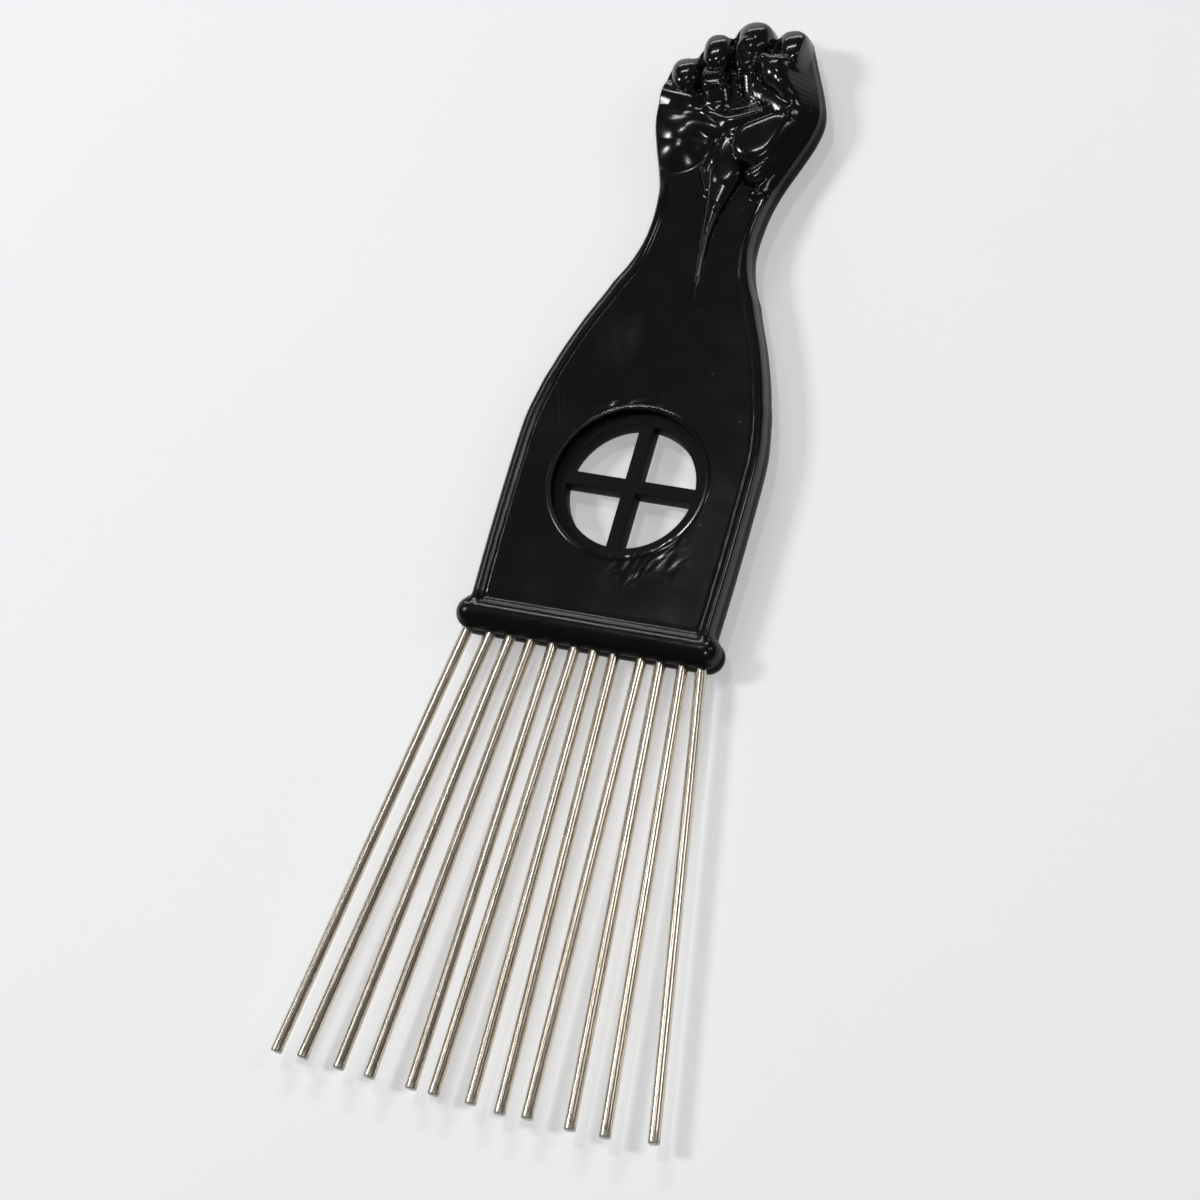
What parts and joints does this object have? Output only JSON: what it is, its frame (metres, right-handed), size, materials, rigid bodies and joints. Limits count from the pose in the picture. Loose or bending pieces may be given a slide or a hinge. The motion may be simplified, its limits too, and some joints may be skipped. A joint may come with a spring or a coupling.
{
  "type": "afro pick",
  "caption": "Lift comb: a fan of long round steel pins held between two black moulded half shells, with a cross window and a raised fist handle.",
  "frame": {"origin": "middle of the window, on the floor of the round recess (the face of the ring and cross)", "axes": "+X to the right with the palm side up, +Y from the pin tips to the fist, +Z out of the palm side"},
  "size_m": [0.0826, 0.2404, 0.0142],
  "materials": {
    "front_plastic": "polished black moulding",
    "rear_plastic": "polished black moulding, matt ring and cross",
    "pin_steel": "nickel plated wire with drawn marks"
  },
  "bodies": {
    "root": {"front_shell": "front_plastic", "rear_shell": "rear_plastic", "pin_01": "pin_steel", "pin_02": "pin_steel", "pin_03": "pin_steel", "pin_04": "pin_steel", "pin_05": "pin_steel", "pin_06": "pin_steel", "pin_07": "pin_steel", "pin_08": "pin_steel", "pin_09": "pin_steel", "pin_10": "pin_steel", "pin_11": "pin_steel", "pin_12": "pin_steel"}
  },
  "joints": []
}
